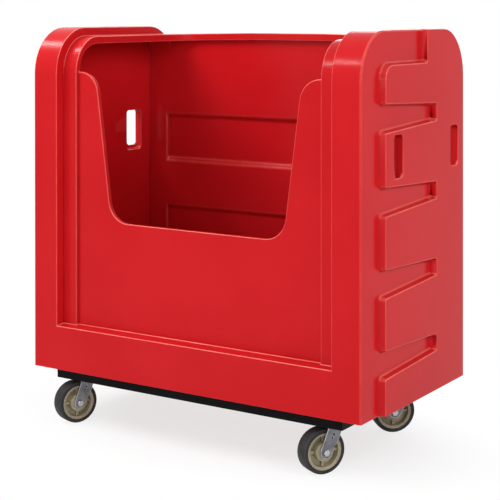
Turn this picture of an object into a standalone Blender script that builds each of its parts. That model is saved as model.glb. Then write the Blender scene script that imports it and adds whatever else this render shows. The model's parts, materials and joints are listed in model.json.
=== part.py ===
"""Bulk tub cart: a moulded red tub with an open front on a steel angle frame and
four swivel casters. Metres, +Z up, front towards -Y, floor at Z = 0, plan centre at 0, 0."""

import math

import bmesh
import bpy
from mathutils import Matrix

# Clearance left between two parts that touch on the real cart.
GAP = 0.0003

# Wheel and swivel sizes shared by all four casters.
WHEEL_RADIUS = 0.0762
WHEEL_HALF_WIDTH = 0.0254
TREAD_THICKNESS = 0.0147
SHOULDER_DROP = 0.006
SHOULDER_WIDTH = 0.0044
RIM_THICKNESS = 0.0085
RIM_HALF_WIDTH = 0.022
WEB_HALF_WIDTH = 0.005
SPOKE_WIDTH = 0.008
SPOKE_HALF_DEPTH = 0.013
HUB_RADIUS = 0.031
HUB_RING = 0.003
BEARING_RADIUS = 0.014
AXLE_RADIUS = 0.00635
AXLE_HEAD_ACROSS = 0.019
AXLE_HEAD_HEIGHT = 0.008
FORK_PLAY = 0.0031
FORK_METAL = 0.005
BRAKE_SLOT = 0.006
# Places of the brake slots ahead of the axle and above it.
BRAKE_SLOTS = ((0.0296, 0.0578), (0.0239, 0.0460))
CASTER_TRAIL = 0.045
CROWN_RADIUS = 0.038
CROWN_BOTTOM = 0.166
CROWN_TOP = 0.1787
RACE_RADIUS = 0.040
RACE_HEIGHT = 0.0067
KINGPIN_RADIUS = 0.008
KINGPIN_HEAD_RADIUS = 0.014
KINGPIN_HEAD_HEIGHT = 0.0042
KINGPIN_NUT_RADIUS = 0.013
KINGPIN_NUT_HEIGHT = 0.0077
PLATE_SIDE = 0.108
PLATE_METAL = 0.0064
PLATE_CORNER = 0.010
PLATE_BOLT_SPREAD = 0.0375
PLATE_BOLT_RADIUS = 0.0039
PLATE_BOLT_HEAD_RADIUS = 0.0073
PLATE_BOLT_HEAD_HEIGHT = 0.0034
PLATE_NUT_HEIGHT = 0.008

# Rest turn of each caster about its kingpin, in degrees, and its plan corner.
CASTERS = (
    ("fl", -1, -1, 68.6),
    ("fr", 1, -1, 60.0),
    ("rr", 1, 1, 44.0),
    ("rl", -1, 1, 50.0),
)
# Places of the kingpins in from the frame's outline.
KINGPIN_END_INSET = 0.074
KINGPIN_SIDE_INSET = 0.072

# Steel frame: angle rails with a flat bar over each pair of casters. It sits in from the tub.
FRAME_END_INSET = 0.0825
FRAME_SIDE_INSET = 0.03025
RAIL_HEIGHT = 0.0390
RAIL_LEG = 0.024
RAIL_METAL = 0.0042
BAR_WIDTH = 0.127
BAR_METAL = 0.0064

# Carriage bolts that hold the tub on the rails.
TUB_BOLT_END_INSET = 0.161
TUB_BOLT_INSET = 0.0165
TUB_BOLT_RADIUS = 0.004
TUB_BOLT_HEAD_RADIUS = 0.0085
TUB_BOLT_HEAD_HEIGHT = 0.0045
TUB_NUT_RADIUS = 0.0073
TUB_NUT_HEIGHT = 0.0068

# Tub: outside sizes at the bottom and the wall.
TUB_LENGTH = 1.347
TUB_DEPTH = 0.7205
TUB_HEIGHT = 1.217
WALL = 0.008
DRAW_IN_END = 0.024
DRAW_IN_SIDE = 0.014
# Thicker load floor, clear of the walls and the bolts.
FLOOR_PANEL_INSET = 0.040
FLOOR_PANEL_RISE = 0.002

# Tub: planes that step back from the end bands towards the middle.
BAND_WIDTH = 0.107
STRIP_WIDTH = 0.060
STRIP_SETBACK = 0.038
PANEL_SETBACK = 0.051
BACK_SETBACK = 0.0275
STRIP_DROP = 0.030
ARCH_RADIUS = 0.158
LEDGE_RISE = 0.160
LEDGE_SLOPE = 0.068

# Tub: rim flange round the top opening.
FLANGE_DEPTH = 0.026
FLANGE_SETBACK = 0.017
RIM_WIDTH = 0.030
OPENING_CORNER = 0.100
RIM_CROWN = 0.008
OPENING_RISE = 1.065

# Tub: window in the front panel. The jambs lean outwards by the given slope.
SILL_RISE = 0.545
SILL_HALF = 0.3570
JAMB_SLOPE = 0.1367
SILL_CORNER = 0.082
SHOULDER_RADIUS = 0.078
WINDOW_LIP = 0.009

# Tub: horizontal ribs pushed out of the back wall, lower and upper height of the mouth.
RIB_HALF_LENGTH = 0.577
RIB_DEPTH = 0.015
RIB_SLOPE = 0.014
RIB_RISES = ((0.334, 0.520), (0.695, 0.881))

# Tub: raised comb on each end wall.
PAD_RAISE = 0.022
PAD_DRAFT = 0.007
PAD_CORNER = 0.008
PAD_TOP_CORNER = 0.045
TOOTH_FRONT = -0.235
SPINE_FRONT = 0.143
SPINE_TOP_FRONT = 0.071
TOOTH_PITCH = 0.260
TOP_TOOTH_RISE = 1.109
GAP_RISES_FRONT = (0.900, 0.992)
GAP_RISES_SPINE = (0.917, 0.975)
GAP_COUNT = 4

# Tub: hand slots through the end walls, by end, place in depth and rise of the centre.
# The pad is hollowed from inside round each slot, so that only the wall is left there.
SLOT_WIDTH = 0.064
SLOT_HEIGHT = 0.138
SLOT_CORNER = 0.015
SLOT_POCKET = 0.030
SLOT_CENTRES = ((1, -0.146, 0.822), (1, 0.283, 0.824), (-1, -0.146, 0.822), (-1, 0.237, 0.826))

# Smoothness of the round shapes.
ARCH_STEPS = 9
CORNER_STEPS = 4
RIM_STATIONS = 6
ROUND_SIDES = 18
BOLT_SIDES = 12
WHEEL_SIDES = 32

# Heights that follow from the stack of parts between floor and tub.
PLATE_TOP = CROWN_TOP + GAP + RACE_HEIGHT + PLATE_METAL
BAR_BOTTOM = PLATE_TOP + GAP
BAR_TOP = BAR_BOTTOM + BAR_METAL
RAIL_TOP = BAR_TOP + GAP + RAIL_METAL
TUB_BOTTOM = RAIL_TOP + GAP

# Plan places of the frame, the casters and the bolts, which follow the tub's outline.
FRAME_HALF_LENGTH = TUB_LENGTH / 2 - FRAME_END_INSET
FRAME_HALF_DEPTH = TUB_DEPTH / 2 - FRAME_SIDE_INSET
KINGPIN_X = FRAME_HALF_LENGTH - KINGPIN_END_INSET
KINGPIN_Y = FRAME_HALF_DEPTH - KINGPIN_SIDE_INSET
TUB_BOLT_X = FRAME_HALF_LENGTH - TUB_BOLT_END_INSET

# Tub planes and heights that follow from the sizes above.
FRONT_PLANE = -TUB_DEPTH / 2
STRIP_PLANE = FRONT_PLANE + STRIP_SETBACK
PANEL_PLANE = FRONT_PLANE + PANEL_SETBACK
BACK_PLANE = TUB_DEPTH / 2 - BACK_SETBACK
END_PLANE = TUB_LENGTH / 2
BAND_HALF = END_PLANE - BAND_WIDTH
PANEL_HALF = BAND_HALF - STRIP_WIDTH
TUB_TOP = TUB_BOTTOM + TUB_HEIGHT
STRIP_TOP = TUB_TOP - STRIP_DROP
ARCH_Y = FRONT_PLANE + ARCH_RADIUS
ARCH_Z = TUB_TOP - ARCH_RADIUS
LEDGE_Z = TUB_BOTTOM + LEDGE_RISE
OPENING_Z = TUB_BOTTOM + OPENING_RISE
OPENING_BACK = BACK_PLANE - RIM_WIDTH
SILL_Z = TUB_BOTTOM + SILL_RISE
# How far the cutters run past the material.
PAST = 0.060


def srgb(red, green, blue):
    """Give a screen colour from 0 to 255 as a linear colour."""
    linear = []
    for value in (red, green, blue):
        share = value / 255
        if share <= 0.04045:
            linear.append(share / 12.92)
        else:
            linear.append(((share + 0.055) / 1.055) ** 2.4)
    return (linear[0], linear[1], linear[2], 1.0)


def make_material(name, colour, roughness, metallic):
    """Make one Principled material."""
    material = bpy.data.materials.new(name)
    material.use_nodes = True
    shader = material.node_tree.nodes["Principled BSDF"]
    shader.inputs["Base Color"].default_value = colour
    shader.inputs["Roughness"].default_value = roughness
    shader.inputs["Metallic"].default_value = metallic
    material.diffuse_color = colour
    return material


def rounded(corners, steps=CORNER_STEPS):
    """Outline through corners given as (u, v, radius), each turned into an arc."""
    points = []
    count = len(corners)
    for index, (u, v, radius) in enumerate(corners):
        if radius == 0:
            points.append((u, v))
            continue
        before = corners[index - 1]
        after = corners[(index + 1) % count]
        in_u, in_v = u - before[0], v - before[1]
        out_u, out_v = after[0] - u, after[1] - v
        in_length = math.hypot(in_u, in_v)
        out_length = math.hypot(out_u, out_v)
        in_u, in_v = in_u / in_length, in_v / in_length
        out_u, out_v = out_u / out_length, out_v / out_length
        side = 1 if in_u * out_v - in_v * out_u > 0 else -1
        turn = math.acos(max(-1.0, min(1.0, in_u * out_u + in_v * out_v)))
        reach = radius * math.tan(turn / 2)
        start_u, start_v = u - in_u * reach, v - in_v * reach
        for step in range(steps + 1):
            angle = turn * step / steps
            along = radius * math.sin(angle)
            across = radius * (1 - math.cos(angle)) * side
            arc_u = start_u + in_u * along - in_v * across
            arc_v = start_v + in_v * along + in_u * across
            points.append((arc_u, arc_v))
    return points


def grown(outline, distance):
    """Move a counter-clockwise outline outwards by a distance."""
    points = []
    count = len(outline)
    for index, (u, v) in enumerate(outline):
        before = outline[index - 1]
        after = outline[(index + 1) % count]
        in_u, in_v = u - before[0], v - before[1]
        out_u, out_v = after[0] - u, after[1] - v
        in_length = math.hypot(in_u, in_v)
        out_length = math.hypot(out_u, out_v)
        first = (in_v / in_length, -in_u / in_length)
        second = (out_v / out_length, -out_u / out_length)
        scale = distance / (1 + first[0] * second[0] + first[1] * second[1])
        points.append((u + (first[0] + second[0]) * scale, v + (first[1] + second[1]) * scale))
    return points


def place(axis, u, v, along):
    """Point from an outline position and a position along the axis."""
    if axis == "X":
        return (along, u, v)
    if axis == "Y":
        return (u, along, v)
    return (u, v, along)


def loft(outlines, stations, axis):
    """Closed body through outlines with the same number of points."""
    bm = bmesh.new()
    rings = []
    for outline, station in zip(outlines, stations):
        rings.append([bm.verts.new(place(axis, u, v, station)) for u, v in outline])
    count = len(rings[0])
    for lower, upper in zip(rings, rings[1:]):
        for index in range(count):
            after = (index + 1) % count
            bm.faces.new((lower[index], lower[after], upper[after], upper[index]))
    bm.faces.new(rings[0])
    bm.faces.new(rings[-1])
    bmesh.ops.recalc_face_normals(bm, faces=bm.faces)
    return bm


def prism(outline, axis, low, high):
    """Straight body over one outline."""
    return loft((outline, outline), (low, high), axis)


def box(x0, x1, y0, y1, z0, z1):
    """Block between two corners."""
    return prism(((x0, y0), (x1, y0), (x1, y1), (x0, y1)), "Z", z0, z1)


def circle(radius, sides=ROUND_SIDES, centre=(0, 0)):
    """Round outline."""
    points = []
    for index in range(sides):
        angle = math.tau * index / sides
        points.append((centre[0] + radius * math.cos(angle), centre[1] + radius * math.sin(angle)))
    return points


def hexagon(corner_radius, sides=ROUND_SIDES):
    """Six-sided outline with as many points as a round one."""
    apothem = corner_radius * math.cos(math.pi / 6)
    points = []
    for index in range(sides):
        angle = math.tau * index / sides
        local = (angle % (math.pi / 3)) - math.pi / 6
        radius = apothem / math.cos(local)
        points.append((radius * math.cos(angle), radius * math.sin(angle)))
    return points


def revolve(profile, sides=WHEEL_SIDES):
    """Ring about the Y axis from a closed profile of (radius, y) points."""
    bm = bmesh.new()
    rings = []
    for index in range(sides):
        angle = math.tau * index / sides
        ring = [bm.verts.new((r * math.cos(angle), y, r * math.sin(angle))) for r, y in profile]
        rings.append(ring)
    count = len(profile)
    for index in range(sides):
        ring = rings[index]
        after = rings[(index + 1) % sides]
        for point in range(count):
            following = (point + 1) % count
            bm.faces.new((ring[point], ring[following], after[following], after[point]))
    bmesh.ops.recalc_face_normals(bm, faces=bm.faces)
    return bm


def combine(base, tool, operation):
    """Join or cut one body with another and give the result as a new body."""
    objects = []
    for bm in (base, tool):
        mesh = bpy.data.meshes.new("work")
        bm.to_mesh(mesh)
        bm.free()
        work = bpy.data.objects.new("work", mesh)
        bpy.context.scene.collection.objects.link(work)
        objects.append(work)
    target, cutter = objects
    modifier = target.modifiers.new("Combine", "BOOLEAN")
    modifier.operation = operation
    modifier.solver = "EXACT"
    modifier.object = cutter
    graph = bpy.context.evaluated_depsgraph_get()
    mesh = bpy.data.meshes.new_from_object(target.evaluated_get(graph))
    result = bmesh.new()
    result.from_mesh(mesh)
    bpy.data.meshes.remove(mesh)
    for work in objects:
        data = work.data
        bpy.data.objects.remove(work)
        bpy.data.meshes.remove(data)
    bmesh.ops.remove_doubles(result, verts=result.verts, dist=0.00001)
    return result


def join(base, tool):
    return combine(base, tool, "UNION")


def cut(base, tool):
    return combine(base, tool, "DIFFERENCE")


def shade(bm):
    """Smooth shading with sharp edges where the surface turns by more than 35 degrees."""
    for face in bm.faces:
        face.smooth = True
    for edge in bm.edges:
        edge.smooth = len(edge.link_faces) == 2 and edge.calc_face_angle() < math.radians(35)


def add_part(name, bm, material, location=(0, 0, 0)):
    """Turn a body into a named object."""
    shade(bm)
    mesh = bpy.data.meshes.new(name)
    bm.to_mesh(mesh)
    mesh.materials.append(material)
    part = bpy.data.objects.new(name, mesh)
    part.location = location
    bpy.context.scene.collection.objects.link(part)
    return part


def crown(x):
    """Rise of the back rim at a place along the cart."""
    share = x / PANEL_HALF
    return max(0.0, RIM_CROWN * (1 - share * share))


def arch(plane, top, setback, steps=ARCH_STEPS):
    """Quarter arch from the top down to a front plane, moved in by a setback."""
    reach = ARCH_Y - plane - setback
    rise = top - ARCH_Z - setback
    points = []
    for step in range(steps + 1):
        angle = math.pi / 2 * step / steps
        points.append((ARCH_Y - reach * math.sin(angle), ARCH_Z + rise * math.cos(angle)))
    return points


def ledge_height(plane):
    """Height of the sloping ledge where it meets an upright plane."""
    return LEDGE_Z + LEDGE_SLOPE * (plane - FRONT_PLANE)


def middle_profile(plane, inset, x=BAND_HALF, under_band=False):
    """Side outline between the end bands: bottom band, ledge, front wall, arch, top and back."""
    foot = FRONT_PLANE + inset
    bottom = TUB_BOTTOM + inset
    back = BACK_PLANE - inset
    top = STRIP_TOP + crown(x)
    points = [(foot, bottom), (back, bottom)]
    if under_band:
        rear = ((min(y, back), z) for y, z in end_profile(inset) if y > 0)
        points.extend((y, z) for y, z in rear if ARCH_Z < z < top - inset)
    else:
        points.append((back, top - inset))
    points.extend(arch(plane, top, inset))
    points.append((plane + inset, ledge_height(plane) - inset))
    if plane > STRIP_PLANE:
        points.append((STRIP_PLANE + inset, ledge_height(STRIP_PLANE) - inset))
    points.append((foot, LEDGE_Z - inset))
    return points


def end_profile(inset):
    """Side outline of an end band with an arch at front and rear."""
    half = TUB_DEPTH / 2 - inset
    bottom = TUB_BOTTOM + inset
    top = TUB_TOP - inset
    radius = ARCH_RADIUS - inset
    corners = ((-half, bottom, 0), (half, bottom, 0), (half, top, radius), (-half, top, radius))
    return rounded(corners, ARCH_STEPS)


def rim_stations(half):
    """Places along the cart where the crowned middle is cut into lengths."""
    count = RIM_STATIONS
    return [half * (2 * index / count - 1) for index in range(count + 1)]


def rib_outline(low, high, face, depth):
    """Side outline of one back rib that starts inside the wall."""
    slope = RIB_SLOPE
    points = ((face - WALL / 2, low), (face, low), (face + depth, low + slope))
    return points + ((face + depth, high - slope), (face, high), (face - WALL / 2, high))


def tub_form(inset):
    """Full tub without openings. With an inset it is the hollow inside."""
    half = PANEL_HALF + inset
    stations = rim_stations(half)
    outlines = [middle_profile(PANEL_PLANE, inset, x) for x in stations]
    form = loft(outlines, stations, "X")
    if inset:
        end = END_PLANE - inset
        band = [(min(y, BACK_PLANE - inset), z) for y, z in end_profile(inset)]
    else:
        end = END_PLANE + PAD_RAISE
        band = end_profile(0)
    for side in (-1, 1):
        strip = middle_profile(STRIP_PLANE, inset)
        form = join(form, prism(strip, "X", side * half, side * (BAND_HALF - inset)))
        if inset:
            strip = middle_profile(STRIP_PLANE, inset, under_band=True)
            ends = (side * (BAND_HALF - inset), side * (BAND_HALF + inset))
            form = join(form, prism(strip, "X", ends[0], ends[1]))
        form = join(form, prism(band, "X", side * (BAND_HALF + inset), side * end))
    for low, high in RIB_RISES:
        grow = WALL - inset
        outline = rib_outline(
            TUB_BOTTOM + low - grow, TUB_BOTTOM + high + grow, BACK_PLANE - inset, RIB_DEPTH
        )
        reach = RIB_HALF_LENGTH + grow
        form = join(form, prism(outline, "X", -reach, reach))
    return form


def opening_outline(grow):
    """Plan of the top opening, open past the front, with round rear corners."""
    half = PANEL_HALF + grow
    front = FRONT_PLANE - PAST
    back = OPENING_BACK + grow
    radius = OPENING_CORNER + grow
    corners = ((-half, front, 0), (half, front, 0), (half, back, radius), (-half, back, radius))
    return rounded(corners, 8)


def window_outline(grow, reach, top):
    """Window in the front panel: sill, leaning jambs and shoulders that turn outwards."""
    lean = math.hypot(1, JAMB_SLOPE)
    sill = SILL_Z - grow
    shoulder = OPENING_Z - grow
    sill_x = SILL_HALF + JAMB_SLOPE * (sill - SILL_Z) + grow * lean
    shoulder_x = SILL_HALF + JAMB_SLOPE * (shoulder - SILL_Z) + grow * lean
    corner = SILL_CORNER + grow
    turn = SHOULDER_RADIUS - grow
    right = (
        (sill_x, sill, corner),
        (shoulder_x, shoulder, turn),
        (reach, shoulder, 0),
        (reach, top, 0),
    )
    left = tuple((-x, z, radius) for x, z, radius in reversed(right))
    return rounded(right + left, 8)


def flange_keep():
    """Material of the rim flange that the hollow leaves standing."""
    grow = WALL
    keep = prism(opening_outline(grow), "Z", OPENING_Z - grow, TUB_TOP + PAST)
    half = PANEL_HALF + PAST
    stations = [-half] + rim_stations(PANEL_HALF) + [half]
    outlines = []
    for x in stations:
        top = STRIP_TOP + crown(x) - FLANGE_DEPTH
        front = STRIP_PLANE + FLANGE_SETBACK
        points = [(front, SILL_Z), (TUB_DEPTH, SILL_Z), (TUB_DEPTH, top)]
        points.extend(arch(front, top, 0))
        outlines.append(points)
    return cut(keep, loft(outlines, stations, "X"))


def comb_cutter(side):
    """Cutter that leaves the raised comb standing on one end wall."""
    low = TUB_BOTTOM - PAST
    high = TUB_TOP + PAST
    far = FRONT_PLANE - PAST
    top = TUB_BOTTOM + TOP_TOOTH_RISE
    corners = [(far, low, 0), (TOOTH_FRONT, low, 0)]
    for index in reversed(range(GAP_COUNT)):
        drop = TUB_BOTTOM - TOOTH_PITCH * index
        corners.append((TOOTH_FRONT, drop + GAP_RISES_FRONT[0], PAD_CORNER))
        corners.append((SPINE_FRONT, drop + GAP_RISES_SPINE[0], PAD_CORNER))
        corners.append((SPINE_FRONT, drop + GAP_RISES_SPINE[1], PAD_CORNER))
        corners.append((TOOTH_FRONT, drop + GAP_RISES_FRONT[1], PAD_CORNER))
    corners.append((TOOTH_FRONT, top, PAD_TOP_CORNER))
    corners.append((SPINE_TOP_FRONT, top, PAD_CORNER))
    corners.append((SPINE_TOP_FRONT, high, 0))
    corners.append((far, high, 0))
    face = rounded(corners, 4)
    past = PAD_RAISE / 2
    foot = grown(face, -PAD_DRAFT)
    outer = grown(face, PAD_DRAFT * past / PAD_RAISE)
    stations = (side * END_PLANE, side * (END_PLANE + PAD_RAISE + past))
    return loft((foot, outer), stations, "X")


def slot_outline(centre_y, rise, margin=0.0):
    """Round-cornered hand slot, with a margin in front of it and half of that below it."""
    z = TUB_BOTTOM + rise
    y0 = centre_y - SLOT_WIDTH / 2 - margin
    y1 = centre_y + SLOT_WIDTH / 2
    z0 = z - SLOT_HEIGHT / 2 - margin / 2
    z1 = z + SLOT_HEIGHT / 2
    corners = ((y0, z0), (y1, z0), (y1, z1), (y0, z1))
    return rounded([(y, z, SLOT_CORNER) for y, z in corners], 4)


def tub_bolt_places():
    """Corner name and plan place of each bolt through the tub's floor."""
    y = FRAME_HALF_DEPTH - TUB_BOLT_INSET
    return (
        ("fl", -TUB_BOLT_X, -y),
        ("fr", TUB_BOLT_X, -y),
        ("rr", TUB_BOLT_X, y),
        ("rl", -TUB_BOLT_X, y),
    )


def floor_panel():
    """Raised load floor, clear of the walls and of the bolt heads."""
    half_x = END_PLANE - WALL - FLOOR_PANEL_INSET
    half_y = FRAME_HALF_DEPTH - TUB_BOLT_INSET - TUB_BOLT_HEAD_RADIUS * 1.5
    floor = TUB_BOTTOM + WALL
    return box(-half_x, half_x, -half_y, half_y, floor - WALL / 2, floor + FLOOR_PANEL_RISE)


def tub_hollow(lip_back):
    """Hollow inside of the tub, which leaves the rim flange and the window lip standing."""
    hollow = cut(tub_form(WALL), flange_keep())
    lip = window_outline(WALL, PANEL_HALF + WALL, OPENING_Z)
    return cut(hollow, prism(lip, "Y", PANEL_PLANE + WALL / 2, lip_back))


def draw_in(tub):
    """Lean the walls inwards, as a moulded tub needs to leave its mould."""
    for vert in tub.verts:
        share = (vert.co.z - TUB_BOTTOM) / TUB_HEIGHT
        vert.co.x *= 1 - DRAW_IN_END / END_PLANE * share
        vert.co.y *= 1 - DRAW_IN_SIDE * 2 / TUB_DEPTH * share


def cut_hand_slots(tub):
    """Cut each hand slot through the end wall, with its pocket inside the pad."""
    for side, centre_y, rise in SLOT_CENTRES:
        pocket = slot_outline(centre_y, rise, SLOT_POCKET)
        floor = side * (END_PLANE + PAD_RAISE - WALL)
        tub = cut(tub, prism(pocket, "X", side * (END_PLANE - WALL * 1.5), floor))
        slot = slot_outline(centre_y, rise)
        tub = cut(tub, prism(slot, "X", side * (END_PLANE - PAST), side * (END_PLANE + PAST)))
    return tub


def make_tub():
    """The moulded tub as one closed body."""
    outer = tub_form(0)
    for side in (-1, 1):
        outer = cut(outer, comb_cutter(side))
    lip_back = PANEL_PLANE + WALL + WINDOW_LIP
    tub = cut(outer, tub_hollow(lip_back))
    tub = join(tub, floor_panel())
    tub = cut(tub, prism(opening_outline(0), "Z", OPENING_Z, TUB_TOP + PAST))
    window = window_outline(0, PANEL_HALF - WALL / 2, OPENING_Z + WALL)
    tub = cut(tub, prism(window, "Y", FRONT_PLANE - PAST, lip_back + WALL))
    tub = cut_hand_slots(tub)
    for _, x, y in tub_bolt_places():
        hole = circle(TUB_BOLT_RADIUS + GAP, BOLT_SIDES, (x, y))
        tub = cut(tub, prism(hole, "Z", TUB_BOTTOM - PAST / 2, TUB_BOTTOM + PAST / 2))
    draw_in(tub)
    return tub


def rail(length, side_plane):
    """Angle rail along X with mitred ends, its upright leg on the side_plane."""
    sign = 1 if side_plane > 0 else -1
    low = RAIL_TOP - RAIL_HEIGHT
    shelf = RAIL_TOP - RAIL_METAL
    inner = side_plane - sign * RAIL_METAL
    edge = side_plane - sign * RAIL_LEG
    outline = (
        (side_plane, low),
        (side_plane, RAIL_TOP),
        (edge, RAIL_TOP),
        (edge, shelf),
        (inner, shelf),
        (inner, low),
    )
    bm = bmesh.new()
    rings = []
    for end in (-1, 1):
        ring = []
        for y, z in outline:
            x = end * (length / 2 - abs(side_plane - y) - GAP * 0.75)
            ring.append(bm.verts.new((x, y, z)))
        rings.append(ring)
    count = len(outline)
    for index in range(count):
        after = (index + 1) % count
        bm.faces.new((rings[0][index], rings[0][after], rings[1][after], rings[1][index]))
    bm.faces.new(rings[0])
    bm.faces.new(rings[1])
    bmesh.ops.recalc_face_normals(bm, faces=bm.faces)
    return bm


def screw(levels, sides=BOLT_SIDES):
    """Turned or hexagonal body from (z, radius, hexagonal) levels."""
    outlines = []
    stations = []
    for z, radius, hexagonal in levels:
        outlines.append(hexagon(radius, sides) if hexagonal else circle(radius, sides))
        stations.append(z)
    return loft(outlines, stations, "Z")


def tub_bolt():
    """Carriage bolt with its nut, round head inside the tub."""
    floor = TUB_BOTTOM + WALL + GAP
    under = RAIL_TOP - RAIL_METAL - GAP
    nut = under - TUB_NUT_HEIGHT
    return screw((
        (nut - 0.003, TUB_BOLT_RADIUS, False),
        (nut, TUB_BOLT_RADIUS, False),
        (nut, TUB_NUT_RADIUS, True),
        (under, TUB_NUT_RADIUS, True),
        (under, TUB_BOLT_RADIUS, False),
        (floor, TUB_BOLT_RADIUS, False),
        (floor, TUB_BOLT_HEAD_RADIUS, False),
        (floor + TUB_BOLT_HEAD_HEIGHT * 0.55, TUB_BOLT_HEAD_RADIUS * 0.85, False),
        (floor + TUB_BOLT_HEAD_HEIGHT, TUB_BOLT_HEAD_RADIUS * 0.40, False),
    ))


def plate_bolt():
    """Bolt with its nut that clamps a caster plate under the bar."""
    under = PLATE_TOP - PLATE_METAL - GAP
    nut = under - PLATE_NUT_HEIGHT
    head = BAR_TOP + GAP
    return screw((
        (nut, PLATE_BOLT_HEAD_RADIUS, True),
        (under, PLATE_BOLT_HEAD_RADIUS, True),
        (under, PLATE_BOLT_RADIUS, False),
        (head, PLATE_BOLT_RADIUS, False),
        (head, PLATE_BOLT_HEAD_RADIUS, False),
        (head + PLATE_BOLT_HEAD_HEIGHT, PLATE_BOLT_HEAD_RADIUS * 0.75, False),
    ))


def plate_bolt_places():
    """Plan places of the four bolts of one caster plate."""
    spread = PLATE_BOLT_SPREAD
    return ((-spread, -spread), (spread, -spread), (spread, spread), (-spread, spread))


def caster_plate():
    """Square top plate with the pressed upper race under it."""
    half = PLATE_SIDE / 2
    corners = ((-half, -half), (half, -half), (half, half), (-half, half))
    bottom = PLATE_TOP - PLATE_METAL
    plate = prism(rounded([(x, y, PLATE_CORNER) for x, y in corners]), "Z", bottom, PLATE_TOP)
    race = loft(
        (circle(RACE_RADIUS - 0.003), circle(RACE_RADIUS), circle(RACE_RADIUS)),
        (bottom - RACE_HEIGHT, bottom - RACE_HEIGHT / 2, bottom + PLATE_METAL / 2),
        "Z",
    )
    plate = join(plate, race)
    bore = circle(KINGPIN_RADIUS + GAP)
    plate = cut(plate, prism(bore, "Z", bottom - RACE_HEIGHT * 2, PLATE_TOP + PLATE_METAL))
    recess = circle(KINGPIN_HEAD_RADIUS + GAP)
    floor = PLATE_TOP - KINGPIN_HEAD_HEIGHT - GAP
    plate = cut(plate, prism(recess, "Z", floor, PLATE_TOP + PLATE_METAL))
    for x, y in plate_bolt_places():
        hole = circle(PLATE_BOLT_RADIUS + GAP, BOLT_SIDES, (x, y))
        plate = cut(plate, prism(hole, "Z", bottom - PLATE_METAL, PLATE_TOP + PLATE_METAL))
    return plate


def kingpin():
    """Kingpin with its flush head above and nut inside the fork."""
    head = PLATE_TOP - KINGPIN_HEAD_HEIGHT
    nut_top = CROWN_BOTTOM - GAP
    nut = nut_top - KINGPIN_NUT_HEIGHT
    return screw((
        (nut, KINGPIN_NUT_RADIUS, True),
        (nut_top, KINGPIN_NUT_RADIUS, True),
        (nut_top, KINGPIN_RADIUS, False),
        (head, KINGPIN_RADIUS, False),
        (head, KINGPIN_HEAD_RADIUS, False),
        (PLATE_TOP - GAP, KINGPIN_HEAD_RADIUS, False),
    ))


def fork_inner_half():
    """Half of the free width between the fork's legs."""
    return WHEEL_HALF_WIDTH + FORK_PLAY


def fork():
    """Pressed fork: crown with the lower race, two legs and slots for a brake."""
    inner = fork_inner_half()
    outer = inner + FORK_METAL
    axle_x = -CASTER_TRAIL
    axle_z = WHEEL_RADIUS
    bridge = CROWN_BOTTOM + FORK_METAL
    leg = rounded((
        (axle_x + 0.009, bridge, 0),
        (axle_x + 0.009, axle_z + 0.080, 0.010),
        (axle_x - 0.0195, axle_z + 0.006, 0.012),
        (axle_x - 0.0195, axle_z - 0.020, 0.016),
        (axle_x + 0.012, axle_z - 0.020, 0.016),
        (axle_x + 0.050, axle_z + 0.044, 0.030),
        (axle_x + 0.067, bridge, 0),
    ), 3)
    body = prism(leg, "Y", -outer, outer)
    hollow = box(axle_x - WHEEL_RADIUS, PLATE_SIDE, -inner, inner, 0, CROWN_BOTTOM)
    body = cut(body, hollow)
    disc = loft(
        (circle(CROWN_RADIUS), circle(CROWN_RADIUS), circle(CROWN_RADIUS - 0.004)),
        (CROWN_BOTTOM, CROWN_TOP - 0.004, CROWN_TOP),
        "Z",
    )
    body = join(body, disc)
    body = cut(body, prism(circle(KINGPIN_RADIUS + GAP), "Z", 0.100, CROWN_TOP + 0.010))
    bore = circle(AXLE_RADIUS + GAP, ROUND_SIDES, (axle_x, axle_z))
    body = cut(body, prism(bore, "Y", -outer - 0.01, outer + 0.01))
    half = BRAKE_SLOT / 2
    for across, rise in BRAKE_SLOTS:
        x = axle_x + across
        z = axle_z + rise
        slot = box(x - half, x + half, -outer - 0.01, outer + 0.01, z - half, z + half)
        body = cut(body, slot)
    return body


def turned_to_y(bm):
    """Lay a body made along Z along the axle, its top towards -Y."""
    bm.transform(Matrix.Rotation(math.radians(90), 4, "X"))
    return bm


def axle_bolt():
    """Axle bolt with its head on the -Y side of the fork."""
    side = fork_inner_half() + FORK_METAL + GAP
    head = AXLE_HEAD_ACROSS / math.sqrt(3)
    bolt = turned_to_y(screw((
        (-side - AXLE_HEAD_HEIGHT - 0.004, AXLE_RADIUS, False),
        (side, AXLE_RADIUS, False),
        (side, head, True),
        (side + AXLE_HEAD_HEIGHT, head, True),
    )))
    bolt.transform(Matrix.Translation((-CASTER_TRAIL, 0, WHEEL_RADIUS)))
    return bolt


def axle_nut():
    """Nut on the +Y side of the fork."""
    side = fork_inner_half() + FORK_METAL + GAP
    outer = AXLE_HEAD_ACROSS / math.sqrt(3)
    bore = AXLE_RADIUS + GAP
    bm = bmesh.new()
    rings = []
    for y, outline in (
        (side, hexagon(outer, BOLT_SIDES)),
        (side + AXLE_HEAD_HEIGHT, hexagon(outer, BOLT_SIDES)),
        (side + AXLE_HEAD_HEIGHT, circle(bore, BOLT_SIDES)),
        (side, circle(bore, BOLT_SIDES)),
    ):
        rings.append([bm.verts.new((x - CASTER_TRAIL, y, z + WHEEL_RADIUS)) for x, z in outline])
    for number, ring in enumerate(rings):
        following = rings[(number + 1) % len(rings)]
        for index in range(BOLT_SIDES):
            after = (index + 1) % BOLT_SIDES
            bm.faces.new((ring[index], ring[after], following[after], following[index]))
    bmesh.ops.recalc_face_normals(bm, faces=bm.faces)
    return bm


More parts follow.
